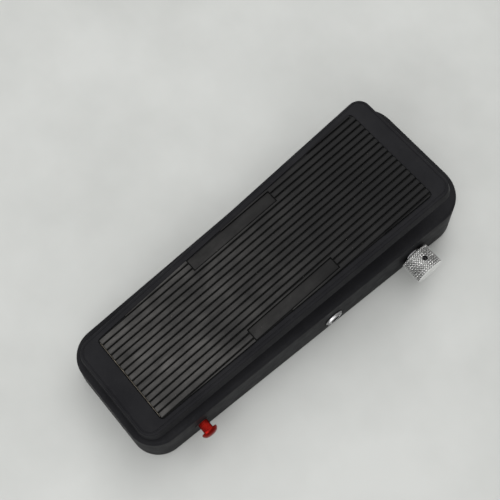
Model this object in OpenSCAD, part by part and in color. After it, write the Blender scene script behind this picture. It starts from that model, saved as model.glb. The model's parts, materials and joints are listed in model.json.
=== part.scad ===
// Rocker pedal of the wah type: a cast base with a rocking treadle that turns a
// sweep control through a rack and pinion. Millimetres, +Y from heel to toe,
// +X to the player's right, +Z up. The origin is on the floor, under the pivot.

/* [Base housing] */
// Distance from the pivot back to the base's heel edge
base_back = 126.4; // [125:0.2:128]
// Distance from the pivot forward to the base's toe edge
base_front = 129.2; // [127:0.2:131]
// Width of the base at the heel end, at its bottom edge
base_heel_w = 83.4; // [83:0.2:86]
// Width of the base at the toe end, at its bottom edge
base_toe_w = 99.6; // [98:0.2:101]
// Corner radius at the heel end
base_heel_r = 18; // [14:1:20]
// Corner radius at the toe end, at the bottom edge
base_toe_r = 21; // [18:1:24]
// Corner radius at the toe end, at the deck
deck_toe_r = 22; // [18:1:24]
// Height of the deck above the floor, under the pivot
deck_z = 36.5; // [36:0.1:37]
// Rise of the deck towards the toe, in degrees
deck_slope = 1.7; // [1.5:0.1:1.9]
// Draft of the side walls, in degrees
wall_draft = 2.5; // [1:0.5:3]
// Draft of the toe wall, in degrees
toe_draft = 4.5; // [2:0.5:5]
// Thickness of the walls and the deck
wall_t = 3; // [2.5:0.1:3.2]
// Rounding of the edge between wall and deck
rim_r = 2.4; // [1:0.1:2.8]
// Height of the rubber feet
foot_h = 3.5; // [3:0.1:4]

/* [Treadle] */
// Distance from the pivot back to the heel edge
treadle_back = 120; // [118:1:122]
// Distance from the pivot forward to the toe edge
treadle_front = 110.4; // [107:0.2:111]
// Width of the top at the heel edge
treadle_heel_w = 68.6; // [66:0.2:70]
// Width of the top at the toe edge
treadle_toe_w = 81.8; // [80:0.2:84]
// Corner radius at the heel edge
treadle_heel_r = 9; // [6:1:11]
// Corner radius at the toe edge
treadle_toe_r = 8; // [6:1:11]
// Thickness of the top plate
treadle_t = 3.5; // [3:0.1:3.6]
// Depth of the skirt below the top
skirt_h = 6.5; // [5:0.1:6.6]
// How far the skirt flares outwards
skirt_flare = 1.6; // [1:0.1:2]
// Tilt of the treadle when the heel is down, in degrees
heel_down_tilt = 7; // [6.8:0.1:7.2]

/* [Tread mat] */
// Distance from the pivot back to the mat's heel edge
mat_back = 105.8; // [104:0.2:108]
// Distance from the pivot forward to the mat's toe edge
mat_front = 97.4; // [95:0.2:99]
// Width of the mat at its heel edge
mat_heel_w = 59.6; // [58:0.2:61]
// Width of the mat at its toe edge
mat_toe_w = 70.6; // [69:0.2:72]
// Pitch of the ribs
rib_pitch = 3.95; // [3.8:0.05:4.1]
// Length of the two blank panels
panel_len = 64.6; // [60:0.2:68]

/* [Pivot] */
// Height of the pivot above the floor
pivot_z = 45; // [45:0.1:45.4]
// Height of the treadle's top above the pivot
treadle_rise = 10; // [10:0.1:10.4]
// Radius of the pivot shaft
shaft_r = 3; // [2.8:0.1:3.1]

/* [Side controls] */
// Height of the side controls above the floor
control_z = 18; // [17:0.5:20]
// Place of the control knob along the base
knob_y = 80.5; // [79:0.5:82]
// Radius of the control knob
knob_r = 10; // [9:0.5:10.5]
// Length of the control knob
knob_len = 15; // [13:0.5:16]
// Place of the jacks along the base
jack_y = 13.7; // [12:0.1:15]
// Radius of the jack's bore
jack_bore_r = 3.25; // [3.2:0.01:3.3]
// Place of the kick button along the base
kick_y = -88.6; // [-90:0.1:-87]
// Travel of the kick button
kick_travel = 2.5; // [2:0.1:2.8]

/* [Sweep drive] */
// Place of the rack's hanging pin along the treadle
rack_arm = 50; // [49:0.5:51]
// Gear module of rack and pinion
gear_module = 1; // [1:0.05:1.05]
// Teeth on the pinion
pinion_teeth = 11; // [11:1:11]
// Height of the pinion's axis above the floor
pinion_z = 22; // [21.5:0.5:22]

/* [Hidden] */
$fn = 72;
hull_fn = 48;
running = 0.05;
eps = 0.05;
base_len = base_back + base_front;
deck_rise = tan(deck_slope);
plate_t = 1.5;
plate_top = foot_h + plate_t;
heel_wall_h = deck_z - base_back * deck_rise - foot_h;
toe_wall_h = deck_z + base_front * deck_rise - foot_h;
post_x = 26;
post_t = 6;
post_r = 6;
bushing_r = 4.5;
lug_x = 19;
lug_t = 6;
foot_spots = [[-30, -107], [30, -107], [-34, 103], [34, 103]];
foot_r = 8;
switch_y = 88;
plunger_top = 45.1;
rack_y = rack_arm * cos(heel_down_tilt);
pin_z = pivot_z + rack_arm * sin(heel_down_tilt);
pitch = PI * gear_module;
pitch_r = pinion_teeth * gear_module / 2;
pitch_y = rack_y - 3.2;
pinion_y = pitch_y - pitch_r;
flange_t = 1.5;
drive_spots = [[-16, pinion_y - 16], [-8.5, pitch_y + 14], [8.5, pitch_y + 14]];
drive_top = deck_at(pinion_y - 22) - wall_t - 0.1;
board_y = [-44, -4];
board_half = 31;
board_z = 21;
board_t = 1.6;
battery_y = [-96, -47.5];
battery_half = 13.25;
battery_h = 17.5;
screw_r = 1.45;
pilot_r = 1.5;
screw_head_r = 2.7;
boss_r = 4;
plate_gap = 1.6;
lug_r = 5.6;
pin_r = 1.5;
ear_x = 4.4;
ear_half = 1.2;
ear_r = 3.3;
clip_at = 30;
clip_r = 5;
clip_groove_r = 2.3;
skirt_wall = 2.6;
mat_recess = 0.8;
mat_gap = 0.5;
panel_rib = 7;
panel_y = -37;
panel_gap = 0.3;
rack_half = 2.5;
pot_r = 12;
pot_sleeve_r = 4.7;
switch_half = 8.5;
switch_low = 13;
switch_top = 32.6;
switch_bush_r = 6;
plunger_r = 4;
knob_edge = 0.6;
knob_screw_x = 7.2;
knob_screw_r = 1.75;
control_r = 8.2;
control_sleeve_r = 4.5;
stem_r = 3.25;
stem_out = 6.2;
head_r = 7;
kick_half = 6.5;
kick_deep = 22;
kick_sleeve_r = 5;
kick_sleeve_len = 5.8;
jack_deep = 30;
jack_body = [26, 18, 16];
jack_sleeve_r = 4.7;
jack_sleeve_out = 1.8;
jack_nut_r = 6;
jack_nut_from = 0.75;
jack_nut_to = 1.65;
jack_washer_r = 6.3;
jack_washer_from = 0.36;
jack_washer_to = 0.7;
inlet_deep = 14;
inlet_r = 5.5;
inlet_flange_r = 7;

// ---- geometry helpers ----

// Height of the deck's top surface above a place along the base
function deck_at(y) = deck_z + y * deck_rise;

// Half-width of the base's outer wall at a place and a height
function wall_x(y, z) =
    base_heel_w / 2 + (base_toe_w - base_heel_w) / 2 * (y + base_back) / base_len
    - (z - foot_h) * tan(wall_draft);

// A plate that tapers from toe to heel, with a round arc at each corner
module tapered_plate(heel, toe, heel_half, toe_half, heel_r, toe_r) {
    side = atan((toe_half - heel_half) / (toe - heel));
    gain = (toe_half - heel_half) / (toe - heel);
    heel_x = heel_half + gain * heel_r - heel_r / cos(side);
    toe_x = toe_half - gain * toe_r - toe_r / cos(side);
    right = [
        [heel_x, heel],
        [heel_x + heel_r * cos(side), heel + heel_r - heel_r * sin(side)],
        [toe_x + toe_r * cos(side), toe - toe_r - toe_r * sin(side)],
        [toe_x, toe]
    ];
    left = [for (i = [3:-1:0]) [-right[i][0], right[i][1]]];
    polygon(concat(right, left));
    for (s = [-1, 1]) {
        translate([s * heel_x, heel + heel_r]) circle(r = heel_r);
        translate([s * toe_x, toe - toe_r]) circle(r = toe_r);
    }
}

module base_outline(inset) {
    tapered_plate(-base_back + inset, base_front - inset,
        base_heel_w / 2 - inset, base_toe_w / 2 - inset,
        base_heel_r - inset, base_toe_r - inset);
}

module deck_outline(inset) {
    heel_in = heel_wall_h * tan(wall_draft) + inset;
    toe_side_in = toe_wall_h * tan(wall_draft) + inset;
    toe_in = toe_wall_h * tan(toe_draft) + inset;
    tapered_plate(-base_back + heel_in, base_front - toe_in,
        base_heel_w / 2 - heel_in, base_toe_w / 2 - toe_side_in,
        base_heel_r - inset, deck_toe_r - inset);
}

module treadle_outline(grow) {
    tapered_plate(-treadle_back - grow, treadle_front + grow,
        treadle_heel_w / 2 + grow, treadle_toe_w / 2 + grow,
        treadle_heel_r + grow, treadle_toe_r + grow);
}

module mat_outline(grow) {
    tapered_plate(-mat_back - grow, mat_front + grow,
        mat_heel_w / 2 + grow, mat_toe_w / 2 + grow, 2 + grow, 2 + grow);
}

module on_deck() {
    translate([0, 0, deck_z]) rotate([deck_slope, 0, 0]) children();
}

// The treadle's own frame: the pivot is its origin
module on_treadle() {
    translate([0, 0, pivot_z]) rotate([heel_down_tilt, 0, 0]) children();
}

// A rod along X, from one place to another
module rod_x(from, to, r, y, z) {
    translate([from, y, z]) rotate([0, 90, 0]) cylinder(r = r, h = to - from);
}

// A hexagonal nut along X, with a round hole
module nut_x(from, to, r, hole, y, z) {
    difference() {
        translate([from, y, z]) rotate([0, 90, 0]) cylinder(r = r, h = to - from, $fn = 6);
        rod_x(from - 1, to + 1, hole, y, z);
    }
}

// A hexagonal nut along Z, with a round hole
module nut_z(at, low, high, r, hole) {
    difference() {
        translate([at[0], at[1], low]) cylinder(r = r, h = high - low, $fn = 6);
        translate([at[0], at[1], low - 1]) cylinder(r = hole, h = high - low + 2);
    }
}

module box(low, high) {
    translate(low) cube(high - low);
}

// ---- base ----

module housing() color([0.17, 0.17, 0.18]) difference() {
    union() {
        difference() {
            hull() {
                translate([0, 0, foot_h]) linear_extrude(eps) base_outline(0, $fn = hull_fn);
                on_deck() for (turn = [0, 30, 60, 90])
                    translate([0, 0, -rim_r * (1 - sin(turn)) - eps]) linear_extrude(eps)
                        deck_outline(rim_r * (1 - cos(turn)), $fn = hull_fn);
            }
            hull() {
                translate([0, 0, foot_h - eps]) linear_extrude(eps)
                    base_outline(wall_t, $fn = hull_fn);
                on_deck() translate([0, 0, -wall_t - eps]) linear_extrude(eps)
                    deck_outline(wall_t, $fn = hull_fn);
            }
        }
        for (spot = foot_spots)
            translate([spot[0], spot[1], plate_top])
                cylinder(r = boss_r, h = deck_at(spot[1]) - 1 - plate_top);
        for (s = [-1, 1]) {
            rod_x(s * post_x - post_t / 2, s * post_x + post_t / 2, post_r, 0, pivot_z);
            box([s * post_x - post_t / 2, -post_r, deck_z - 1],
                [s * post_x + post_t / 2, post_r, pivot_z]);
        }
    }
    // rebate that the bottom plate lies in
    translate([0, 0, foot_h - 1]) linear_extrude(plate_t + 1) base_outline(1.4);
    for (spot = foot_spots)
        translate([spot[0], spot[1], plate_top - 1]) cylinder(r = pilot_r, h = 15);
    for (s = [-1, 1])
        rod_x(s * post_x - 5, s * post_x + 5, bushing_r, 0, pivot_z);
    for (spot = drive_spots)
        translate([spot[0], spot[1], drive_top - 3]) cylinder(r = pilot_r, h = 5);
    for (spot = board_spots)
        translate([spot[0], spot[1], board_z])
            cylinder(r = pilot_r, h = deck_at(spot[1]) - 1.2 - board_z);
    // opening for the rack, and the toe switch's hole
    box([-8, rack_y - 8, deck_z - 6], [8, rack_y + 8, deck_z + 6]);
    translate([0, switch_y, deck_z - 6]) cylinder(r = switch_bush_r + 0.1, h = 16);
    // holes in the right wall, then in the left wall
    rod_x(38, 55, control_sleeve_r + 0.1, knob_y, control_z);
    rod_x(38, 55, jack_sleeve_r + 0.1, jack_y, control_z);
    rod_x(34, 50, kick_sleeve_r + 0.1, kick_y, control_z);
    rod_x(-55, -38, jack_sleeve_r + 0.1, jack_y, control_z);
    rod_x(-55, -38, inlet_r + 0.1, knob_y, control_z);
}

module bottom_plate() color([0.2, 0.2, 0.21]) translate([0, 0, foot_h]) linear_extrude(plate_t)
    difference() {
        base_outline(plate_gap);
        for (spot = foot_spots)
            translate(spot) circle(r = 1.8);
    }

module rubber_feet() color([0.1, 0.1, 0.1]) for (spot = foot_spots)
    translate([spot[0], spot[1], 0]) difference() {
        union() {
            cylinder(r1 = foot_r - 0.8, r2 = foot_r, h = 1);
            translate([0, 0, 1]) cylinder(r = foot_r, h = foot_h - 1);
        }
        translate([0, 0, -1]) cylinder(r = 1.8, h = foot_h + 2);
        translate([0, 0, -1]) cylinder(r = 3.4, h = 3.3);
    }

module base_screws() color("silver") for (spot = foot_spots)
    translate([spot[0], spot[1], 0]) difference() {
        union() {
            translate([0, 0, 2.2]) cylinder(r = screw_r, h = 13);
            translate([0, 0, 0.8]) cylinder(r = 2.9, h = 1.45);
        }
        for (turn = [0, 90])
            rotate([0, 0, turn]) box([-2, -0.35, 0], [2, 0.35, 1.6]);
    }

module pivot_bushings() color([0.85, 0.85, 0.8]) for (s = [-1, 1]) difference() {
    union() {
        rod_x(s * post_x - post_t / 2, s * post_x + post_t / 2, bushing_r, 0, pivot_z);
        rod_x(s * post_x + (s > 0 ? -3.8 : 3), s * post_x + (s > 0 ? -3 : 3.8), 5.6, 0, pivot_z);
    }
    rod_x(s * post_x - 5, s * post_x + 5, shaft_r + running, 0, pivot_z);
}

// ---- treadle ----

module treadle() color([0.17, 0.17, 0.18]) on_treadle() {
    difference() {
        union() {
            // top plate and flared skirt
            translate([0, 0, treadle_rise - treadle_t]) linear_extrude(treadle_t)
                treadle_outline(0);
            hull() {
                translate([0, 0, treadle_rise - 1.2]) linear_extrude(eps)
                    treadle_outline(0.1, $fn = hull_fn);
                translate([0, 0, treadle_rise - skirt_h]) linear_extrude(eps)
                    treadle_outline(skirt_flare, $fn = hull_fn);
            }
        }
        translate([0, 0, treadle_rise - mat_recess]) linear_extrude(2) mat_outline(mat_gap);
        translate([0, 0, treadle_rise - skirt_h - 1]) linear_extrude(skirt_h - treadle_t + 1)
            treadle_outline(-skirt_wall);
    }
    // stiffening ribs along the underside
    for (s = [-1, 1])
        box([s * 12 - 1, -112, 4.5], [s * 12 + 1, 38, treadle_rise - treadle_t + 0.2]);
    treadle_lugs();
}

module treadle_lugs() {
    for (s = [-1, 1]) difference() {
        union() {
            rod_x(s * lug_x - lug_t / 2, s * lug_x + lug_t / 2, lug_r, 0, 0);
            box([s * lug_x - lug_t / 2, -lug_r, 0], [s * lug_x + lug_t / 2, lug_r, 6.8]);
        }
        rod_x(s * lug_x - 5, s * lug_x + 5, shaft_r + 0.02, 0, 0);
        translate([s * lug_x, 0, -8]) cylinder(r = pilot_r, h = 8);
    }
    for (s = [-1, 1]) difference() {
        union() {
            rod_x(s * ear_x - ear_half, s * ear_x + ear_half, ear_r, rack_arm, 0);
            box([s * ear_x - ear_half, rack_arm - ear_r, 0],
                [s * ear_x + ear_half, rack_arm + ear_r, 6.8]);
        }
        rod_x(s * ear_x - 3, s * ear_x + 3, pin_r + 0.02, rack_arm, 0);
    }
}

// Section of one rib, with sloping sides
module rib_section() {
    polygon([[-1.75, 0], [1.75, 0], [1.45, 1.5], [-1.45, 1.5]]);
}

module tread_mat() color([0.25, 0.25, 0.25]) on_treadle()
    translate([0, 0, treadle_rise - mat_recess]) {
    linear_extrude(mat_recess) mat_outline(0);
    intersection() {
        translate([0, 0, 0.7]) linear_extrude(3) mat_outline(0);
        difference() {
            for (i = [-9:9])
                translate([i * rib_pitch, mat_front, 0.75]) rotate([90, 0, 0])
                    linear_extrude(mat_front + mat_back) rib_section();
            for (s = [-1, 1])
                translate([s * panel_rib * rib_pitch - rib_pitch - panel_gap, panel_y, 0.75])
                    cube([2 * (rib_pitch + panel_gap), panel_len, 3]);
        }
    }
    for (s = [-1, 1])
        translate([s * panel_rib * rib_pitch - rib_pitch + panel_gap, panel_y + 2 * panel_gap, 0.7])
            cube([2 * (rib_pitch - panel_gap), panel_len - 4 * panel_gap, 1.1]);
}

module pivot_shaft() color("silver") difference() {
    rod_x(-32, 32, shaft_r, 0, pivot_z);
    for (s = [-1, 1]) difference() {
        rod_x(s > 0 ? clip_at : -clip_at - 0.9, s > 0 ? clip_at + 0.9 : -clip_at, clip_r, 0, pivot_z);
        rod_x(s * clip_at - 2, s * clip_at + 2, clip_groove_r, 0, pivot_z);
    }
}

module shaft_clips() color([0.3, 0.3, 0.32]) for (s = [-1, 1]) difference() {
    rod_x(s > 0 ? clip_at + 0.1 : -clip_at - 0.8, s > 0 ? clip_at + 0.8 : -clip_at - 0.1,
        clip_r, 0, pivot_z);
    rod_x(s * clip_at - 2, s * clip_at + 2, clip_groove_r + 0.05, 0, pivot_z);
    translate([0, -1.7, pivot_z - 6]) box([s * 31.5 - 3, 0, 0], [s * 31.5 + 3, 3.4, 6]);
}

module shaft_set_screws() color([0.25, 0.25, 0.27]) on_treadle() for (s = [-1, 1])
    translate([s * lug_x, 0, -5.4]) difference() {
        cylinder(r = 1.48, h = 2.3);
        translate([0, 0, -1]) cylinder(r = 0.8, h = 2.2, $fn = 6);
    }

module heel_pads() color([0.1, 0.1, 0.1]) on_treadle() for (s = [-1, 1])
    translate([s * 22, -108, treadle_rise - treadle_t - 4.3]) cylinder(r = 4, h = 4.3);

module toe_pad() color([0.1, 0.1, 0.1]) on_treadle()
    translate([0, switch_y, treadle_rise - treadle_t - 2.4]) cylinder(r = 8, h = 2.4);

module rack_pin() color("silver") on_treadle() {
    rod_x(-6.4, 6.4, pin_r, rack_arm, 0);
    rod_x(5.7, 6.6, 2.6, rack_arm, 0);
}

// ---- sweep drive ----

// One tooth, pointing along +X from its pitch line
module tooth_shape() {
    polygon([
        [-1.3 * gear_module, -1.0], [0, -0.62], [gear_module, -0.28],
        [gear_module, 0.28], [0, 0.62], [-1.3 * gear_module, 1.0]
    ]);
}

module toothed_rack() color([0.9, 0.9, 0.86]) difference() {
    union() {
        box([-rack_half, pitch_y + 1.3, pinion_z - 6], [rack_half, pitch_y + 6, pin_z]);
        rod_x(-rack_half, rack_half, 3.4, rack_y, pin_z);
        for (i = [-1:4])
            translate([-rack_half, pitch_y, pinion_z + (i + 0.5) * pitch])
                rotate([90, 0, 90]) linear_extrude(2 * rack_half) mirror([1, 0]) tooth_shape();
    }
    // slot for the pin, a little long so that the pin can swing
    for (shift = [-0.1, 0.35])
        rod_x(-4, 4, pin_r + 0.2, rack_y + shift, pin_z);
}

module rack_guide() color([0.75, 0.75, 0.7]) difference() {
    union() {
        box([-5.5, pitch_y + 2.4, 15], [5.5, pitch_y + 9, drive_top]);
        box([-12, pitch_y + 8, drive_top - flange_t], [12, pitch_y + 19, drive_top]);
    }
    box([-2.8, pitch_y + 1, 14], [2.8, pitch_y + 6.3, drive_top + 1]);
    for (i = [1, 2])
        translate([drive_spots[i][0], drive_spots[i][1], 30]) cylinder(r = 1.6, h = 5);
}

module pinion() color([0.9, 0.9, 0.86])
    translate([-rack_half, pinion_y, pinion_z]) rotate([90, 0, 90])
    linear_extrude(2 * rack_half) difference() {
        union() {
            circle(r = pitch_r - 1.2 * gear_module);
            for (i = [0:pinion_teeth - 1])
                rotate(i * 360 / pinion_teeth) translate([pitch_r, 0]) tooth_shape();
        }
        circle(r = 3.02);
    }

module sweep_shaft() color("silver") rod_x(-13, 3.4, 3, pinion_y, pinion_z);

module sweep_pot() color([0.55, 0.56, 0.58]) difference() {
    union() {
        rod_x(-23, -11.5, pot_r, pinion_y, pinion_z);
        rod_x(-11.5, -5.2, pot_sleeve_r, pinion_y, pinion_z);
        for (i = [-1:1])
            box([-21, pinion_y + i * 5 - 1, 8.5], [-20.2, pinion_y + i * 5 + 1, 13]);
    }
    rod_x(-14, -4, 3 + running, pinion_y, pinion_z);
}

module sweep_pot_nut() color("silver") nut_x(-8.4, -6.2, 6.6, pot_sleeve_r + 0.05, pinion_y, pinion_z);

module sweep_bracket() color([0.6, 0.6, 0.62]) difference() {
    union() {
        box([-10.4, pinion_y - 9, 14], [-8.5, pinion_y + 7, drive_top]);
        box([-22, pinion_y - 22, drive_top - flange_t], [-8.5, pinion_y - 11, drive_top]);
        box([-10.4, pinion_y - 22, drive_top - 3], [-8.5, pinion_y + 7, drive_top]);
    }
    rod_x(-12, -7, pot_sleeve_r + 0.05, pinion_y, pinion_z);
    translate([drive_spots[0][0], drive_spots[0][1], 30]) cylinder(r = 1.6, h = 5);
}

module drive_screws() color("silver") for (spot = drive_spots)
    translate([spot[0], spot[1], drive_top]) {
        translate([0, 0, -flange_t - 1.5]) cylinder(r = screw_head_r, h = 1.5);
        translate([0, 0, -flange_t]) cylinder(r = screw_r, h = flange_t + 1.9);
    }

// ---- toe switch ----

module toe_switch() color([0.2, 0.35, 0.6]) difference() {
    union() {
        box([-switch_half, switch_y - switch_half, switch_low],
            [switch_half, switch_y + switch_half, switch_top]);
        translate([0, switch_y, switch_top]) cylinder(r = switch_bush_r, h = 8.9);
        for (i = [-1:1]) for (j = [-1:1])
            box([i * 5 - 0.4, switch_y + j * 5 - 1, 8.5], [i * 5 + 0.4, switch_y + j * 5 + 1, switch_low]);
    }
    translate([0, switch_y, 28]) cylinder(r = plunger_r + running, h = 20);
}

module toe_switch_nuts() color("silver") {
    under = deck_at(switch_y) - wall_t - 0.3;
    over = deck_at(switch_y) + 0.3;
    nut_z([0, switch_y], under - 2.3, under, 8.4, switch_bush_r + 0.05);
    nut_z([0, switch_y], over, over + 1.9, 8.4, switch_bush_r + 0.05);
}

module toe_switch_plunger() color("silver") translate([0, switch_y, 0]) {
    translate([0, 0, 32]) cylinder(r = plunger_r, h = plunger_top - 33);
    translate([0, 0, plunger_top - 1]) cylinder(r1 = plunger_r, r2 = plunger_r - 0.8, h = 1);
}

// ---- side controls ----

knob_x = wall_x(knob_y, control_z) + 1.1;

module control_knob() color([0.8, 0.8, 0.82]) difference() {
    union() {
        rod_x(knob_x + knob_edge, knob_x + knob_len - knob_edge, knob_r, knob_y, control_z);
        translate([knob_x, knob_y, control_z]) rotate([0, 90, 0])
            cylinder(r1 = knob_r - knob_edge, r2 = knob_r, h = knob_edge);
        translate([knob_x + knob_len - knob_edge, knob_y, control_z]) rotate([0, 90, 0])
            cylinder(r1 = knob_r, r2 = knob_r - knob_edge, h = knob_edge);
    }
    rod_x(knob_x - 1, knob_x + 3, 8, knob_y, control_z);
    rod_x(knob_x, knob_x + knob_len - 2, 3.02, knob_y, control_z);
    translate([knob_x + knob_screw_x, knob_y, control_z]) cylinder(r = knob_screw_r, h = knob_r + 2);
}

module knob_set_screw() color([0.25, 0.25, 0.27])
    translate([knob_x + knob_screw_x, knob_y, control_z + 3.05]) difference() {
        cylinder(r = knob_screw_r - 0.02, h = 3.8);
        translate([0, 0, 2]) cylinder(r = 0.9, h = 3, $fn = 6);
    }

module control_shaft() color("silver")
    rod_x(knob_x - 6, knob_x + knob_len - 2.2, 3, knob_y, control_z);

module side_control() color([0.55, 0.56, 0.58]) difference() {
    union() {
        rod_x(knob_x - 14, knob_x - 5, control_r, knob_y, control_z);
        rod_x(knob_x - 5, knob_x + 2.2, control_sleeve_r, knob_y, control_z);
        for (i = [-1:1])
            box([knob_x - 12, knob_y + i * 4 - 0.8, 7], [knob_x - 11.4, knob_y + i * 4 + 0.8, 11]);
    }
    rod_x(knob_x - 7, knob_x + 4, 3 + running, knob_y, control_z);
}

module side_control_nut() color("silver")
    nut_x(knob_x - 0.6, knob_x + 1.6, 7, control_sleeve_r + 0.05, knob_y, control_z);

kick_x = wall_x(kick_y, control_z);

module kick_button() color([0.75, 0.08, 0.1]) {
    rod_x(kick_x - 12, kick_x + stem_out, stem_r, kick_y, control_z);
    translate([kick_x + stem_out, kick_y, control_z]) rotate([90, 0, 90]) rotate_extrude()
        intersection() {
            translate([0, -3.4]) circle(r = head_r);
            square([5, 4]);
        }
}

module kick_switch() color([0.2, 0.2, 0.22]) difference() {
    union() {
        box([kick_x - kick_deep, kick_y - kick_half, control_z - kick_half],
            [kick_x - kick_sleeve_len, kick_y + kick_half, control_z + kick_half]);
        rod_x(kick_x - kick_sleeve_len, kick_x + 0.1, kick_sleeve_r, kick_y, control_z);
        for (i = [-1:1])
            box([kick_x - kick_deep - 3.5, kick_y + i * 4 - 0.9, control_z - 0.3],
                [kick_x - kick_deep, kick_y + i * 4 + 0.9, control_z + 0.3]);
    }
    rod_x(kick_x - 12 - kick_travel - 1, kick_x + 2, stem_r + running, kick_y, control_z);
}

module kick_switch_nut() color("silver")
    nut_x(kick_x - 5.7, kick_x - wall_t - 0.6, 7.2, kick_sleeve_r + 0.05, kick_y, control_z);

// ---- jacks and power inlet ----

jack_x = wall_x(jack_y, control_z);

// A 6.35 mm socket, built for the right wall
module socket() difference() {
    union() {
        translate([jack_x - jack_deep, jack_y - jack_body[1] / 2, control_z - jack_body[2] / 2])
            cube(jack_body);
        rod_x(jack_x - jack_deep + jack_body[0], jack_x + jack_sleeve_out, jack_sleeve_r, jack_y, control_z);
        for (i = [-1, 1])
            box([jack_x - jack_deep - 3, jack_y + i * 5 - 1.2, control_z - 0.3],
                [jack_x - jack_deep, jack_y + i * 5 + 1.2, control_z + 0.3]);
    }
    rod_x(jack_x - jack_deep + 1, jack_x + 5, jack_bore_r, jack_y, control_z);
}

module socket_nut() nut_x(jack_x + jack_nut_from, jack_x + jack_nut_to,
    jack_nut_r, jack_sleeve_r + 0.05, jack_y, control_z);

module socket_washer() difference() {
    rod_x(jack_x + jack_washer_from, jack_x + jack_washer_to, jack_washer_r, jack_y, control_z);
    rod_x(jack_x - 1, jack_x + 2, jack_sleeve_r + 0.05, jack_y, control_z);
}

module input_jack() color([0.12, 0.12, 0.12]) socket();
module input_jack_nut() color("silver") socket_nut();
module input_jack_washer() color("silver") socket_washer();
module output_jack() color([0.12, 0.12, 0.12]) mirror([1, 0, 0]) socket();
module output_jack_nut() color("silver") mirror([1, 0, 0]) socket_nut();
module output_jack_washer() color("silver") mirror([1, 0, 0]) socket_washer();

inlet_x = -wall_x(knob_y, control_z);

module power_inlet() color([0.1, 0.1, 0.1]) {
    difference() {
        union() {
            rod_x(inlet_x - 1.7, inlet_x - 0.5, inlet_flange_r, knob_y, control_z);
            rod_x(inlet_x - 0.5, inlet_x + inlet_deep, inlet_r, knob_y, control_z);
        }
        rod_x(inlet_x - 3, inlet_x + 11, 2.9, knob_y, control_z);
    }
    rod_x(inlet_x + 1, inlet_x + 11.5, 1.05, knob_y, control_z);
    for (i = [-1, 1])
        box([inlet_x + inlet_deep, knob_y + i * 3 - 1, control_z - 0.3],
            [inlet_x + inlet_deep + 4, knob_y + i * 3 + 1, control_z + 0.3]);
}

module power_inlet_nut() color([0.15, 0.15, 0.15])
    nut_x(inlet_x + wall_t + 0.7, inlet_x + wall_t + 3.2, 8, inlet_r + 0.05, knob_y, control_z);

// ---- electronics ----

board_spots = [for (x = [-26, 26]) for (y = board_y + [5, -5]) [x, y]];

module circuit_board() color([0.1, 0.35, 0.2]) difference() {
    box([-board_half, board_y[0], board_z], [board_half, board_y[1], board_z + board_t]);
    for (spot = board_spots)
        translate([spot[0], spot[1], board_z - 1]) cylinder(r = 1.7, h = 4);
}

module board_standoffs() color([0.85, 0.75, 0.4]) for (spot = board_spots)
    translate([spot[0], spot[1], board_z + board_t]) difference() {
        cylinder(r = 2.9, h = deck_at(spot[1]) - wall_t - board_z - board_t - 0.15, $fn = 6);
        translate([0, 0, -1]) cylinder(r = pilot_r, h = 7);
    }

module board_screws() color("silver") for (spot = board_spots)
    translate([spot[0], spot[1], 0]) {
        translate([0, 0, board_z - 1.6]) cylinder(r = screw_head_r, h = 1.6);
        translate([0, 0, board_z]) cylinder(r = screw_r, h = board_t + 5);
    }

module inductor() color([0.75, 0.2, 0.15]) translate([-14, -16, board_z]) mirror([0, 0, 1]) {
    cylinder(r = 7, h = 3);
    translate([0, 0, 3]) cylinder(r = 4, h = 4);
    translate([0, 0, 7]) cylinder(r = 7, h = 3);
}

module capacitors() color([0.7, 0.55, 0.2]) {
    for (i = [0:3])
        box([1 + i * 6, -39, board_z - 7], [4.4 + i * 6, -30, board_z]);
    for (i = [0, 1])
        translate([6 + i * 9, -13, board_z - 9]) cylinder(r = 3, h = 9);
}

module resistors() color([0.85, 0.75, 0.55]) for (i = [0:4]) {
    translate([-20 + i * 4.4, -40, board_z - 1.4]) rotate([-90, 0, 0]) cylinder(r = 1.1, h = 6.3);
    for (end = [-42, -33])
        translate([-20 + i * 4.4, end + 0.3, board_z - 1.4]) cylinder(r = 0.35, h = 1.4);
    translate([-20 + i * 4.4, -41.9, board_z - 1.4]) rotate([-90, 0, 0]) cylinder(r = 0.35, h = 9.4);
}

module transistors() color([0.08, 0.08, 0.08]) for (i = [0, 1])
    translate([5 + i * 10, -24, board_z - 6]) difference() {
        cylinder(r = 2.4, h = 6);
        box([-3, 1.2, -1], [3, 3, 5]);
    }

module battery() color([0.2, 0.2, 0.24]) {
    box([-battery_half, battery_y[0], plate_top + 0.6],
        [battery_half, battery_y[1] - 2.6, plate_top + 0.6 + battery_h]);
    for (s = [-1, 1])
        translate([s * 6.4, battery_y[1] - 2.6, plate_top + 9]) rotate([-90, 0, 0])
            cylinder(r = 3, h = 2.2);
}

module battery_snap() color([0.1, 0.1, 0.1])
    box([-13, battery_y[1], plate_top + 3], [13, battery_y[1] + 4, plate_top + 15]);

module battery_clip() color([0.7, 0.7, 0.72]) difference() {
    box([-battery_half - 1.3, -82, plate_top], [battery_half + 1.3, -64, plate_top + 13]);
    box([-battery_half - 0.1, -83, plate_top + 0.6], [battery_half + 0.1, -63, plate_top + 14]);
}

// ---- hook-up wires ----

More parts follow.
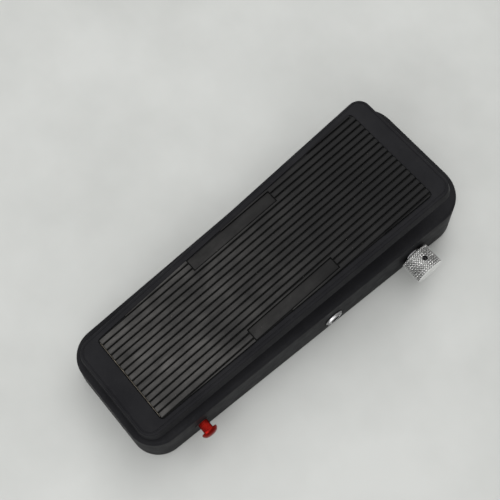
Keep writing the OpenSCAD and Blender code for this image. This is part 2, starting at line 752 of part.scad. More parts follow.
wire_r = 0.7;
wire_sides = 8;
wire_routes = [
    [[-6, -42.7, 14], [-9, -41, 10], [-18, -34, 7.6], [-24, -14, 7.6], [-13.4, 9, 8], [-13.9, 18.7, 16.7]],
    [[6, -42.7, 14], [9, -41, 10], [19, -34, 7.6], [24, -12, 7.6], [15.6, 2, 8], [14, 8.7, 16.9]],
    [[18.6, -84.6, 16.9], [18.4, -80, 14], [19, -64, 12], [21, -50, 14], [22, -43, 20.2]],
    [[-18, -8, 20.2], [-19, -4, 12], [-24, 8, 7.8], [-29, 30, 7.6], [-26, 60, 7.6], [-5, 83, 7.7]],
    [[18, -8, 20.2], [17, -3, 12], [12, 8, 7.8], [14, 32, 7.6], [26, 56, 7.4], [36.6, 76.5, 6.2]],
    [[-5, 88, 7.7], [-10, 86, 7], [-20, 80, 8], [-27, 77.5, 12], [-30, 77.5, 16.9]]
];
rings_per_leg = 3;

// Point on a smooth curve through a route, by the Catmull-Rom rule
function route_point(r, leg, t) =
    let (a = r[max(leg - 1, 0)], b = r[leg], c = r[leg + 1], d = r[min(leg + 2, len(r) - 1)])
    0.5 * (2 * b + (c - a) * t + (2 * a - 5 * b + 4 * c - d) * t * t
        + (3 * b - a - 3 * c + d) * t * t * t);

function route_points(r) = concat(
    [for (leg = [0:len(r) - 2]) for (k = [0:rings_per_leg - 1]) route_point(r, leg, k / rings_per_leg)],
    [r[len(r) - 1]]);

function unit(v) = v / norm(v);

function ring(centre, along, r) =
    let (side = unit(cross(along, [0.13, 0.21, 1])), up = cross(side, along))
    [for (k = [0:wire_sides - 1])
        centre + r * (cos(k * 360 / wire_sides) * side + sin(k * 360 / wire_sides) * up)];

module wire(route) {
    p = route_points(route);
    n = len(p);
    dirs = [for (i = [0:n - 1]) unit(p[min(i + 1, n - 1)] - p[max(i - 1, 0)])];
    points = [for (i = [0:n - 1]) each ring(p[i], dirs[i], wire_r)];
    sides = [for (i = [0:n - 2]) for (k = [0:wire_sides - 1])
        let (next = (k + 1) % wire_sides)
        [i * wire_sides + k, i * wire_sides + next,
         (i + 1) * wire_sides + next, (i + 1) * wire_sides + k]];
    first = [for (k = [wire_sides - 1:-1:0]) k];
    last = [for (k = [0:wire_sides - 1]) (n - 1) * wire_sides + k];
    polyhedron(points, concat(sides, [first], [last]));
}

module hookup_wires() color([0.6, 0.1, 0.1]) for (route = wire_routes) wire(route);

housing();
bottom_plate();
rubber_feet();
base_screws();
pivot_bushings();
treadle();
tread_mat();
pivot_shaft();
shaft_clips();
shaft_set_screws();
heel_pads();
toe_pad();
rack_pin();
toothed_rack();
rack_guide();
pinion();
sweep_shaft();
sweep_pot();
sweep_pot_nut();
sweep_bracket();
drive_screws();
toe_switch();
toe_switch_nuts();
toe_switch_plunger();
control_knob();
knob_set_screw();
control_shaft();
side_control();
side_control_nut();
kick_button();
kick_switch();
kick_switch_nut();
input_jack();
input_jack_nut();
input_jack_washer();
output_jack();
output_jack_nut();
output_jack_washer();
power_inlet();
power_inlet_nut();
circuit_board();
board_standoffs();
board_screws();
inductor();
capacitors();
resistors();
transistors();
battery();
battery_snap();
battery_clip();
hookup_wires();
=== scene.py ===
"""Looks for a rocker pedal of the wah type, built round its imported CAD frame.

Shapes are worked out in millimetres and turn into metres where a mesh is made.
+Y runs from heel to toe, +X to the player's right and +Z up.
"""

import json
import math

import bmesh
import bpy
from mathutils import Matrix, Vector, noise


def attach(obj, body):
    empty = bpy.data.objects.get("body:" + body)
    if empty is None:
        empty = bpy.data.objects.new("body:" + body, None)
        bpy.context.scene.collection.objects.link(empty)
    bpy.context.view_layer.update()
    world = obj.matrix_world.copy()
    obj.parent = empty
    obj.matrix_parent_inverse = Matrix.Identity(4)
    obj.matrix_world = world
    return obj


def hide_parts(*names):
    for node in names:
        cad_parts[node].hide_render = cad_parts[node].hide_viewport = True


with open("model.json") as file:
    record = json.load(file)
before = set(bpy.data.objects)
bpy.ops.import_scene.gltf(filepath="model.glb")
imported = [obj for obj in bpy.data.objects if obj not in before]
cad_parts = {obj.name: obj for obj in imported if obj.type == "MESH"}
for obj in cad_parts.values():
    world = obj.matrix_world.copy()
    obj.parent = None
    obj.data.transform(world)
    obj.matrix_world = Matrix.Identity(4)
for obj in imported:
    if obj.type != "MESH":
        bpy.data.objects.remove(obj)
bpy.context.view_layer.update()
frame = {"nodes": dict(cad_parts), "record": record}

MM = 0.001
CORNER_STEPS = 20

# ---- sizes, the same as the CAD's ----
BASE_BACK = 126.4
BASE_FRONT = 129.2
BASE_LEN = BASE_BACK + BASE_FRONT
BASE_HEEL_W = 83.4
BASE_TOE_W = 99.6
BASE_HEEL_R = 18.0
BASE_TOE_R = 21.0
DECK_TOE_R = 22.0
DECK_Z = 36.5
DECK_SLOPE = math.radians(1.7)
WALL_DRAFT = math.radians(2.5)
TOE_DRAFT = math.radians(4.5)
WALL_T = 3.0
RIM_R = 2.4
FOOT_H = 3.5
PLATE_T = 1.5
PLATE_REBATE = 1.4
PIVOT_Z = 45.0
HEEL_DOWN_TILT = math.radians(7.0)
TREADLE_BACK = 120.0
TREADLE_FRONT = 110.4
TREADLE_HEEL_W = 68.6
TREADLE_TOE_W = 81.8
TREADLE_HEEL_R = 9.0
TREADLE_TOE_R = 8.0
TREADLE_TOP = 10.0
TREADLE_T = 3.5
SKIRT_H = 6.5
SKIRT_FLARE = 1.6
SKIRT_WALL = 2.6
MAT_BACK = 105.8
MAT_FRONT = 97.4
MAT_HEEL_W = 59.6
MAT_TOE_W = 70.6
MAT_CORNER_R = 2.0
MAT_RECESS = 0.8
MAT_GAP = 0.5
RIB_PITCH = 3.95
RIB_COUNT_A_SIDE = 9
PANEL_RIB = 7
PANEL_Y = -37.0
PANEL_LEN = 64.6
PANEL_GAP = 0.3
POST_X = 26.0
LUG_X = 19.0
POST_W = 6.0
RACK_ARM = 50.0
CONTROL_Z = 18.0
KNOB_Y = 80.5
KNOB_R = 10.0
KNOB_LEN = 15.0
KNOB_EDGE = 0.6
KNURL_DEPTH = 0.55
JACK_Y = 13.7
KICK_Y = -88.6
SWITCH_Y = 88.0


def wall_x(y, z):
    """Half-width of the base's outer wall at a place and a height"""
    taper = (BASE_TOE_W - BASE_HEEL_W) / 2 * (y + BASE_BACK) / BASE_LEN
    return BASE_HEEL_W / 2 + taper - (z - FOOT_H) * math.tan(WALL_DRAFT)


KNOB_X = wall_x(KNOB_Y, CONTROL_Z) + 1.1
JACK_X = wall_x(JACK_Y, CONTROL_Z)
KICK_X = wall_x(KICK_Y, CONTROL_Z)

ON_TREADLE = Matrix.Translation((0, 0, PIVOT_Z)) @ Matrix.Rotation(HEEL_DOWN_TILT, 4, "X")
ON_DECK = Matrix.Translation((0, 0, DECK_Z)) @ Matrix.Rotation(DECK_SLOPE, 4, "X")
UPRIGHT = Matrix.Identity(4)


# ---- outlines ----


def arc(cx, cy, r, start, end):
    """Points along an arc, between two angles in degrees"""
    turns = [math.radians(start + (end - start) * k / CORNER_STEPS) for k in range(CORNER_STEPS + 1)]
    return [(cx + r * math.cos(a), cy + r * math.sin(a)) for a in turns]


def circle(cx, cy, r, sides):
    turns = [2 * math.pi * k / sides for k in range(sides)]
    return [(cx + r * math.cos(a), cy + r * math.sin(a)) for a in turns]


def tapered_outline(heel, toe, heel_half, toe_half, heel_r, toe_r):
    """A plate's outline that tapers from toe to heel, with a round arc at each corner"""
    gain = (toe_half - heel_half) / (toe - heel)
    side = math.atan(gain)
    heel_x = heel_half + gain * heel_r - heel_r / math.cos(side)
    toe_x = toe_half - gain * toe_r - toe_r / math.cos(side)
    lean = math.degrees(side)
    right = arc(heel_x, heel + heel_r, heel_r, -90, -lean) + arc(toe_x, toe - toe_r, toe_r, -lean, 90)
    return right + [(-x, y) for x, y in reversed(right)]


def base_outline(inset):
    """The base at its bottom edge"""
    return tapered_outline(
        -BASE_BACK + inset, BASE_FRONT - inset, BASE_HEEL_W / 2 - inset, BASE_TOE_W / 2 - inset,
        BASE_HEEL_R - inset, BASE_TOE_R - inset)


def deck_outline(inset):
    """The base at its deck, drawn in by the walls' draft"""
    heel_wall_h = DECK_Z - BASE_BACK * math.tan(DECK_SLOPE) - FOOT_H
    toe_wall_h = DECK_Z + BASE_FRONT * math.tan(DECK_SLOPE) - FOOT_H
    heel_in = heel_wall_h * math.tan(WALL_DRAFT) + inset
    toe_side_in = toe_wall_h * math.tan(WALL_DRAFT) + inset
    toe_in = toe_wall_h * math.tan(TOE_DRAFT) + inset
    return tapered_outline(
        -BASE_BACK + heel_in, BASE_FRONT - toe_in, BASE_HEEL_W / 2 - heel_in, BASE_TOE_W / 2 - toe_side_in,
        BASE_HEEL_R - inset, DECK_TOE_R - inset)


def treadle_outline(grow):
    return tapered_outline(
        -TREADLE_BACK - grow, TREADLE_FRONT + grow, TREADLE_HEEL_W / 2 + grow, TREADLE_TOE_W / 2 + grow,
        TREADLE_HEEL_R + grow, TREADLE_TOE_R + grow)


def mat_outline(grow):
    return tapered_outline(
        -MAT_BACK - grow, MAT_FRONT + grow, MAT_HEEL_W / 2 + grow, MAT_TOE_W / 2 + grow,
        MAT_CORNER_R + grow, MAT_CORNER_R + grow)


def mat_half(y):
    """Half-width of the mat at a place along it, with its round corners"""
    half = MAT_HEEL_W / 2 + (MAT_TOE_W - MAT_HEEL_W) / 2 * (y + MAT_BACK) / (MAT_BACK + MAT_FRONT)
    to_end = min(y + MAT_BACK, MAT_FRONT - y)
    if to_end >= MAT_CORNER_R:
        return half
    short = MAT_CORNER_R - max(to_end, 0.0)
    return half - MAT_CORNER_R + math.sqrt(MAT_CORNER_R**2 - short**2)


# ---- mesh building ----


def ring(outline, z, place=UPRIGHT):
    """A level ring of points, carried to its place"""
    return [place @ Vector((x, y, z)) for x, y in outline]


class Shape:
    """A mesh under construction, in millimetres"""

    def __init__(self):
        self.points = []
        self.faces = []

    def loft(self, rings, wrap=False):
        """Skins a row of rings. A wrapped loft joins its last ring to its first; any other is capped."""
        first = len(self.points)
        n = len(rings[0])
        count = len(rings)
        for r in rings:
            self.points.extend(Vector(p) for p in r)
        for i in range(count if wrap else count - 1):
            a = first + i * n
            b = first + (i + 1) % count * n
            for k in range(n):
                m = (k + 1) % n
                self.faces.append((a + k, a + m, b + m, b + k))
        if not wrap:
            self.faces.append(tuple(first + k for k in reversed(range(n))))
            self.faces.append(tuple(first + (count - 1) * n + k for k in range(n)))
        return self

    def bar(self, low, high, bevel, place=UPRIGHT):
        """A block with bevelled edges"""
        rows = []
        for inset, z in ((bevel, low[2]), (0, low[2] + bevel), (0, high[2] - bevel), (bevel, high[2])):
            x0, y0, x1, y1 = low[0] + inset, low[1] + inset, high[0] - inset, high[1] - inset
            b = bevel
            corners = [(x0 + b, y0), (x1 - b, y0), (x1, y0 + b), (x1, y1 - b),
                       (x1 - b, y1), (x0 + b, y1), (x0, y1 - b), (x0, y0 + b)]
            rows.append(ring(corners, z, place))
        return self.loft(rows)

    def eye(self, x, width, r, bore, y, z, reach, place=UPRIGHT):
        """A lug along X with a bore, whose far side runs straight on by reach"""
        count = 64
        bevel = 0.5
        outer, tight, inner = [], [], []
        for k in range(count):
            a = 2 * math.pi * (k + 0.5) / count
            c, s = math.cos(a), math.sin(a)
            far = r
            if s * reach > 0:
                far = min(r / abs(c), abs(reach / s))
            outer.append((c * far, s * far))
            tight.append((c * (far - bevel), s * (far - bevel)))
            inner.append((c * bore, s * bore))

        def at(side, loop):
            return [place @ Vector((side, y + v, z + w)) for v, w in loop]

        left, right = x - width / 2, x + width / 2
        return self.loft([at(left, tight), at(left + bevel, outer), at(right - bevel, outer),
                          at(right, tight), at(right, inner), at(left, inner)], wrap=True)

    def lathe(self, profile, x, y, z, sides=96, radius=None):
        """A turned shape along X, from (place, radius) pairs that radius() may reshape point by point"""
        rows = []
        for along, r in profile:
            row = []
            for k in range(sides):
                a = 2 * math.pi * k / sides
                reach = radius(along, r, a) if radius else r
                row.append((x + along, y + reach * math.cos(a), z + reach * math.sin(a)))
            rows.append(row)
        return self.loft(rows)

    def make(self, name, smooth=35.0):
        mesh = bpy.data.meshes.new(name)
        mesh.from_pydata([p * MM for p in self.points], [], self.faces)
        obj = bpy.data.objects.new(name, mesh)
        bpy.context.scene.collection.objects.link(obj)
        tidy(obj, smooth)
        return obj


def tidy(obj, smooth):
    """Turns every face outwards and shades the piece smooth below an angle, in degrees"""
    bm = bmesh.new()
    bm.from_mesh(obj.data)
    bmesh.ops.recalc_face_normals(bm, faces=bm.faces)
    bm.to_mesh(obj.data)
    bm.free()
    obj.data.shade_smooth()
    obj.data.set_sharp_from_angle(angle=math.radians(smooth))


def cut(obj, cutter, smooth=35.0):
    """Cuts one piece out of another and removes the cutter"""
    change = obj.modifiers.new("cut", "BOOLEAN")
    change.operation = "DIFFERENCE"
    change.solver = "EXACT"
    change.object = cutter
    bpy.context.view_layer.update()
    graph = bpy.context.evaluated_depsgraph_get()
    mesh = bpy.data.meshes.new_from_object(obj.evaluated_get(graph))
    obj.modifiers.clear()
    obj.data = mesh
    mesh.name = obj.name
    bpy.data.objects.remove(cutter)
    obj.data.shade_smooth()
    obj.data.set_sharp_from_angle(angle=math.radians(smooth))


def weigh_normals(obj):
    """Keeps wide flat faces flat beside their rounded edges"""
    change = obj.modifiers.new("flats", "WEIGHTED_NORMAL")
    change.keep_sharp = True
    change.weight = 80


# ---- materials ----


class Surface:
    """A procedural material, built from object coordinates so that it stays on a moving piece"""

    def __init__(self, name):
        self.mat = bpy.data.materials.new(name)
        self.mat.use_nodes = True
        self.tree = self.mat.node_tree
        self.shader = self.tree.nodes["Principled BSDF"]
        self.where = self.node("ShaderNodeTexCoord").outputs["Object"]

    def node(self, kind, **settings):
        made = self.tree.nodes.new(kind)
        for key, value in settings.items():
            setattr(made, key, value)
        return made

    def link(self, source, target):
        self.tree.links.new(source, target)

    def set(self, **values):
        """Sets the shader's own sockets, with underscores for spaces"""
        for key, value in values.items():
            self.shader.inputs[key.replace("_", " ")].default_value = value
        return self

    def noise(self, size_mm, detail=4.0, rough=0.55, stretch=(1, 1, 1)):
        """Noise whose features are about size_mm across"""
        spot = self.where
        if stretch != (1, 1, 1):
            mapped = self.node("ShaderNodeMapping")
            mapped.inputs["Scale"].default_value = stretch
            self.link(self.where, mapped.inputs["Vector"])
            spot = mapped.outputs["Vector"]
        made = self.node("ShaderNodeTexNoise")
        made.inputs["Scale"].default_value = 1 / (size_mm * MM)
        made.inputs["Detail"].default_value = detail
        made.inputs["Roughness"].default_value = rough
        self.link(spot, made.inputs["Vector"])
        return made.outputs["Fac"]

    def span(self, source, from_low, from_high, to_low=0.0, to_high=1.0):
        made = self.node("ShaderNodeMapRange")
        self.link(source, made.inputs["Value"])
        for key, value in (("From Min", from_low), ("From Max", from_high),
                           ("To Min", to_low), ("To Max", to_high)):
            made.inputs[key].default_value = value
        return made.outputs["Result"]

    def math(self, how, a, b):
        made = self.node("ShaderNodeMath", operation=how)
        for socket, value in zip(made.inputs, (a, b)):
            if isinstance(value, (int, float)):
                socket.default_value = value
            else:
                self.link(value, socket)
        return made.outputs[0]

    def mix(self, factor, first, second):
        """A colour between two colours. Each is a triple or another colour's output."""
        made = self.node("ShaderNodeMix", data_type="RGBA")
        self.link(factor, made.inputs["Factor"])
        for socket, colour in ((made.inputs[6], first), (made.inputs[7], second)):
            if isinstance(colour, tuple):
                socket.default_value = (*colour, 1)
            else:
                self.link(colour, socket)
        return made.outputs[2]

    def colour(self, source):
        self.link(source, self.shader.inputs["Base Color"])
        return self

    def rough(self, source):
        self.link(source, self.shader.inputs["Roughness"])
        return self

    def bump(self, height, depth_mm, strength=1.0):
        """Adds a bump on top of any that the shader has already"""
        made = self.node("ShaderNodeBump")
        made.inputs["Strength"].default_value = strength
        made.inputs["Distance"].default_value = depth_mm * MM
        self.link(height, made.inputs["Height"])
        target = self.shader.inputs["Normal"]
        if target.is_linked:
            self.link(target.links[0].from_socket, made.inputs["Normal"])
        self.link(made.outputs["Normal"], target)
        return self


def varied(name, dark, light, blotch_mm, rough, grain_mm, grain_depth_mm, **values):
    """A surface that varies in colour and gloss by blotches, and in height by a grain"""
    made = Surface(name)
    blotch = made.noise(blotch_mm)
    made.colour(made.mix(made.span(blotch, 0.35, 0.65), dark, light))
    made.rough(made.span(made.noise(blotch_mm / 3), 0.3, 0.7, rough[0], rough[1]))
    made.bump(made.noise(grain_mm, detail=2.0), grain_depth_mm)
    return made.set(**values)


def painted_casting(name, dark, light):
    """Black paint on a casting: a fine pebble over a slow orange peel, with dust and light scuffs"""
    made = Surface(name)
    base = made.mix(made.span(made.noise(28), 0.35, 0.65), dark, light)
    dust = made.span(made.noise(3.2, detail=8.0, rough=0.7), 0.56, 0.78, 0.0, 0.35)
    made.colour(made.mix(dust, base, (0.035, 0.034, 0.034)))
    made.rough(made.span(made.noise(9), 0.3, 0.7, 0.46, 0.6))
    made.bump(made.noise(3.5, detail=1.0), 0.02)
    made.bump(made.noise(0.45, detail=2.0), 0.018)
    scuff = made.span(made.noise(1.1, detail=6.0, rough=0.7, stretch=(1, 0.08, 1)), 0.66, 0.74)
    made.bump(scuff, 0.015, 0.5)
    return made.set(IOR=1.22, Specular_IOR_Level=0.2)


def worn_rubber_with_groove_shade():
    """The mat's rubber: dusty and pale at the heel and rubbed dark towards the toe, with painted shade
    darkening the bottoms of its grooves
    """
    made = Surface("tread_rubber")
    apart = made.node("ShaderNodeSeparateXYZ")
    made.link(made.where, apart.inputs["Vector"])
    clean_y, dusty_y = 70.0, -90.0
    heelwards = made.span(apart.outputs["Y"], clean_y * MM, dusty_y * MM)
    blotch = made.span(made.noise(26, detail=5.0), 0.34, 0.64, 0.4, 1.0)
    streak = made.span(made.noise(5, detail=5.0, rough=0.65, stretch=(1, 0.25, 1)), 0.3, 0.7)
    dusty = made.math("MULTIPLY", made.math("ADD", made.math("MULTIPLY", heelwards, 0.75), 0.25), blotch)
    dusty = made.math("ADD", made.math("MULTIPLY", dusty, 0.65), made.math("MULTIPLY", heelwards, 0.25))
    dusty = made.math("MULTIPLY", dusty, made.span(streak, 0, 1, 0.65, 1.1))
    dusty = made.math("POWER", dusty, 1.7)
    rubber = made.mix(dusty, (0.0075, 0.0075, 0.008), (0.115, 0.111, 0.107))
    # height above the pivot, square to the mat: painted shade makes the grooves' bottoms nearly black
    lean = made.math("MULTIPLY", apart.outputs["Y"], -math.sin(HEEL_DOWN_TILT))
    level = made.math("SUBTRACT", made.math("MULTIPLY", apart.outputs["Z"], math.cos(HEEL_DOWN_TILT)),
                      PIVOT_Z * MM * math.cos(HEEL_DOWN_TILT))
    height = made.math("ADD", lean, level)
    # painted shade: below this band the rubber's colour is mixed towards near-black
    groove_shade_low, groove_shade_high = TREADLE_TOP + 0.2, TREADLE_TOP + 1.35
    rubber = made.mix(made.span(height, groove_shade_low * MM, groove_shade_high * MM), (0.002, 0.002, 0.002), rubber)
    speck = made.span(made.noise(1.6, detail=3.0, rough=0.6), 0.735, 0.76)
    made.colour(made.mix(speck, rubber, (0.16, 0.15, 0.135)))
    made.rough(made.span(dusty, 0, 1, 0.58, 0.85))
    made.set(IOR=1.25)
    made.bump(made.noise(0.7, detail=5.0, rough=0.65), 0.05)
    made.bump(made.noise(4, detail=3.0, stretch=(1, 0.3, 1)), 0.06)
    return made


def turned_metal(name, dark, light, rough, line_mm, **values):
    """Metal with fine machining lines round its X axis"""
    made = Surface(name)
    lines = made.noise(line_mm, detail=3.0, stretch=(1, 0.05, 0.05))
    made.colour(made.mix(made.span(made.noise(4), 0.35, 0.65), dark, light))
    made.rough(made.span(lines, 0.3, 0.7, rough[0], rough[1]))
    made.bump(lines, 0.006)
    return made.set(Metallic=1.0, **values)


def knurled_metal():
    """Bare aluminium with painted shade darkening the bottoms of its knurl's grooves"""
    made = turned_metal("knob_aluminium", (0.88, 0.88, 0.88), (0.97, 0.97, 0.96), (0.14, 0.24), 0.25)
    bare = made.shader.inputs["Base Color"].links[0].from_socket
    apart = made.node("ShaderNodeSeparateXYZ")
    made.link(made.where, apart.inputs["Vector"])
    y = made.math("SUBTRACT", apart.outputs["Y"], KNOB_Y * MM)
    z = made.math("SUBTRACT", apart.outputs["Z"], CONTROL_Z * MM)
    squares = made.math("ADD", made.math("MULTIPLY", y, y), made.math("MULTIPLY", z, z))
    reach = made.math("SQRT", squares, 0.0)
    # painted shade: the knurl's groove bottoms are mixed towards dark grey, and the end face is left bare
    groove_r, top_r = KNOB_R - KNURL_DEPTH, KNOB_R - 0.18
    tops = made.span(reach, groove_r * MM, top_r * MM)
    knurl_end = KNOB_X + KNOB_LEN - KNOB_EDGE
    end_face = made.span(apart.outputs["X"], (knurl_end - 0.3) * MM, knurl_end * MM)
    unshaded = made.math("MAXIMUM", tops, end_face)
    return made.colour(made.mix(unshaded, (0.045, 0.045, 0.042), bare))


SURFACES = {
    "cast_paint": painted_casting("cast_paint", (0.0125, 0.0125, 0.0142), (0.018, 0.018, 0.0198)),
    "plate_paint": varied("plate_paint", (0.02, 0.02, 0.022), (0.032, 0.032, 0.034), 18,
                          (0.4, 0.55), 0.6, 0.02),
    "tread_rubber": worn_rubber_with_groove_shade(),
    "pad_rubber": varied("pad_rubber", (0.012, 0.012, 0.012), (0.03, 0.029, 0.028), 5,
                         (0.6, 0.8), 0.5, 0.04),
    "plated_steel": turned_metal("plated_steel", (0.78, 0.78, 0.79), (0.88, 0.88, 0.89), (0.26, 0.4), 0.3),
    "zinc_steel": turned_metal("zinc_steel", (0.5, 0.5, 0.51), (0.66, 0.66, 0.68), (0.28, 0.45), 0.3),
    "dark_steel": turned_metal("dark_steel", (0.05, 0.05, 0.055), (0.12, 0.12, 0.125), (0.35, 0.5), 0.4),
    "pot_case": varied("pot_case", (0.42, 0.42, 0.44), (0.55, 0.55, 0.57), 6, (0.32, 0.48), 0.5, 0.01,
                       Metallic=1.0),
    "knob_aluminium": knurled_metal(),
    "red_anodised": turned_metal("red_anodised", (0.19, 0.006, 0.005), (0.3, 0.014, 0.009),
                                 (0.22, 0.34), 0.3),
    "nylon": varied("nylon", (0.66, 0.64, 0.57), (0.78, 0.76, 0.7), 6, (0.4, 0.55), 0.8, 0.01,
                    Subsurface_Weight=0.1),
    "black_plastic": varied("black_plastic", (0.009, 0.009, 0.01), (0.016, 0.016, 0.017), 6,
                            (0.55, 0.7), 0.4, 0.012, IOR=1.3),
    "switch_case": varied("switch_case", (0.02, 0.09, 0.28), (0.03, 0.13, 0.36), 6, (0.25, 0.4), 0.7, 0.01),
    "board": varied("board", (0.01, 0.11, 0.04), (0.02, 0.18, 0.07), 3, (0.2, 0.35), 0.8, 0.02),
    "standoff_brass": turned_metal("standoff_brass", (0.6, 0.45, 0.2), (0.75, 0.6, 0.3), (0.25, 0.4), 0.3),
    "inductor_case": varied("inductor_case", (0.4, 0.06, 0.03), (0.55, 0.1, 0.05), 3, (0.3, 0.5), 0.5, 0.02),
    "capacitor_case": varied("capacitor_case", (0.5, 0.32, 0.07), (0.62, 0.42, 0.12), 3,
                             (0.25, 0.4), 0.9, 0.03),
    "resistor_body": varied("resistor_body", (0.55, 0.42, 0.26), (0.7, 0.57, 0.38), 2,
                            (0.35, 0.5), 0.4, 0.01),
    "battery_case": varied("battery_case", (0.04, 0.04, 0.06), (0.07, 0.07, 0.09), 8, (0.25, 0.4), 0.6, 0.01,
                           Metallic=0.4),
    "wire_cover": varied("wire_cover", (0.32, 0.012, 0.012), (0.46, 0.03, 0.025), 3, (0.35, 0.5), 0.4, 0.01),
}
EDGE_DUST = varied("edge_dust", (0.1, 0.085, 0.065), (0.26, 0.23, 0.18), 2.5, (0.7, 0.9), 0.4, 0.05)


def place(obj, body, slot, *nodes):
    """Gives a piece its finish and body, and hides the CAD nodes that it stands for"""
    if not obj.data.materials:
        obj.data.materials.append(SURFACES[slot].mat)
    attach(obj, body)
    if nodes:
        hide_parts(*nodes)
    return obj


for entry in frame["record"]["subparts"]:
    kept = frame["nodes"][entry["node"]]
    kept.data.materials.clear()
    kept.data.materials.append(SURFACES[entry["material_slot"]].mat)


# ---- housing ----

RIM_STEPS = 8
BOTTOM_LIP = 0.4
RACK_SLOT_HALF = 8.0
SWITCH_HOLE_R = 6.1
POST_EYE_R = 6.0
POST_BORE_R = 4.5
# where each hole's cutter starts and ends in X, its radius and its place along the base
WALL_HOLES = (
    (38, 55, 4.6, KNOB_Y),
    (38, 55, 4.8, JACK_Y),
    (34, 50, 5.1, KICK_Y),
    (-55, -38, 4.8, JACK_Y),
    (-55, -38, 5.6, KNOB_Y),
)


def build_housing():
    """The cast case: drafted walls, a rounded rim, a sloping deck and the plate's rebate"""
    rings = []
    for k in range(RIM_STEPS + 1):
        turn = math.radians(90 * (RIM_STEPS - k) / RIM_STEPS)
        drawn_in = RIM_R * (1 - math.cos(turn))
        rings.append(ring(deck_outline(drawn_in), RIM_R * (math.sin(turn) - 1), ON_DECK))
    rings.append(ring(base_outline(0), FOOT_H + BOTTOM_LIP))
    rings.append(ring(base_outline(BOTTOM_LIP * 0.3), FOOT_H + BOTTOM_LIP * 0.3))
    rings.append(ring(base_outline(BOTTOM_LIP), FOOT_H))
    rings.append(ring(base_outline(PLATE_REBATE), FOOT_H))
    rings.append(ring(base_outline(PLATE_REBATE), FOOT_H + PLATE_T))
    rings.append(ring(base_outline(WALL_T), FOOT_H + PLATE_T))
    rings.append(ring(deck_outline(WALL_T), -WALL_T, ON_DECK))
    shell = Shape().loft(rings).make("housing_shell")
    cutters = Shape()
    rack_y = RACK_ARM * math.cos(HEEL_DOWN_TILT)
    cutters.bar((-RACK_SLOT_HALF, rack_y - RACK_SLOT_HALF, DECK_Z - 6),
                (RACK_SLOT_HALF, rack_y + RACK_SLOT_HALF, DECK_Z + 6), 1.0)
    switch_hole = circle(0, SWITCH_Y, SWITCH_HOLE_R, 72)
    cutters.loft([ring(switch_hole, DECK_Z - 6), ring(switch_hole, DECK_Z + 10)])
    for start, end, r, y in WALL_HOLES:
        cutters.lathe([(start, r), (end, r)], 0, y, CONTROL_Z)
    cut(shell, cutters.make("cutters"))
    weigh_normals(shell)
    place(shell, "base", "cast_paint", "housing")
    posts = Shape()
    into_deck = -(PIVOT_Z - DECK_Z + 1)
    for side in (-1, 1):
        posts.eye(side * POST_X, POST_W, POST_EYE_R, POST_BORE_R, 0, PIVOT_Z, into_deck)
    place(posts.make("pivot_posts"), "base", "cast_paint")


build_housing()


# ---- treadle ----

RECESS_EDGE = 0.2
TOP_EDGE_R = 1.1
TOP_EDGE_OUT = 0.1
EDGE_STEPS = 7
# degrees that the rounded top edge turns through, down to the flared skirt
EDGE_SWEEP = 76
GROOVE_DEPTH = 0.3
# the border's groove, as offsets from the plate's outline and depths below its top
GROOVE_SECTION = ((-2.3, 0.0), (-2.15, GROOVE_DEPTH), (-1.6, GROOVE_DEPTH), (-1.45, 0.0))
LUG_EYE_R = 5.6
LUG_BORE_R = 3.02
RACK_EAR_X = 4.4
RACK_EAR_W = 2.4
RACK_EAR_R = 3.3
RACK_PIN_BORE_R = 1.52
UNDERSIDE = 6.8
STIFFENER_X = 12
STIFFENER_LOW = 4.5
STIFFENER_BACK = -112
STIFFENER_FRONT = 38


def build_treadle():
    """The rocking plate: a border round the mat's recess, a groove, a rounded edge and a flared skirt"""
    floor = TREADLE_TOP - MAT_RECESS
    skirt_low = TREADLE_TOP - SKIRT_H
    rings = [
        ring(mat_outline(MAT_GAP), floor, ON_TREADLE),
        ring(mat_outline(MAT_GAP), TREADLE_TOP - RECESS_EDGE, ON_TREADLE),
        ring(mat_outline(MAT_GAP + 0.06), TREADLE_TOP - 0.06, ON_TREADLE),
        ring(mat_outline(MAT_GAP + RECESS_EDGE), TREADLE_TOP, ON_TREADLE),
    ]
    for grow, down in GROOVE_SECTION:
        rings.append(ring(treadle_outline(grow), TREADLE_TOP - down, ON_TREADLE))
    for k in range(EDGE_STEPS + 1):
        turn = math.radians(EDGE_SWEEP * k / EDGE_STEPS)
        rings.append(ring(treadle_outline(TOP_EDGE_R * (math.sin(turn) - 1) + TOP_EDGE_OUT),
                          TREADLE_TOP - TOP_EDGE_R * (1 - math.cos(turn)), ON_TREADLE))
    rings.append(ring(treadle_outline(SKIRT_FLARE), skirt_low + 0.35, ON_TREADLE))
    rings.append(ring(treadle_outline(SKIRT_FLARE - 0.1), skirt_low + 0.1, ON_TREADLE))
    rings.append(ring(treadle_outline(SKIRT_FLARE - 0.35), skirt_low, ON_TREADLE))
    rings.append(ring(treadle_outline(-SKIRT_WALL), skirt_low, ON_TREADLE))
    rings.append(ring(treadle_outline(-SKIRT_WALL), TREADLE_TOP - TREADLE_T, ON_TREADLE))
    plate = Shape().loft(rings).make("treadle_plate")
    weigh_normals(plate)
    place(plate, "treadle", "cast_paint", "treadle")
    under = Shape()
    for side in (-1, 1):
        under.eye(side * LUG_X, POST_W, LUG_EYE_R, LUG_BORE_R, 0, 0, UNDERSIDE, ON_TREADLE)
        under.eye(side * RACK_EAR_X, RACK_EAR_W, RACK_EAR_R, RACK_PIN_BORE_R, RACK_ARM, 0, UNDERSIDE,
                  ON_TREADLE)
        middle = side * STIFFENER_X
        under.bar((middle - 1, STIFFENER_BACK, STIFFENER_LOW), (middle + 1, STIFFENER_FRONT, UNDERSIDE),
                  0.3, ON_TREADLE)
    place(under.make("treadle_lugs"), "treadle", "cast_paint")


build_treadle()


# ---- tread mat ----

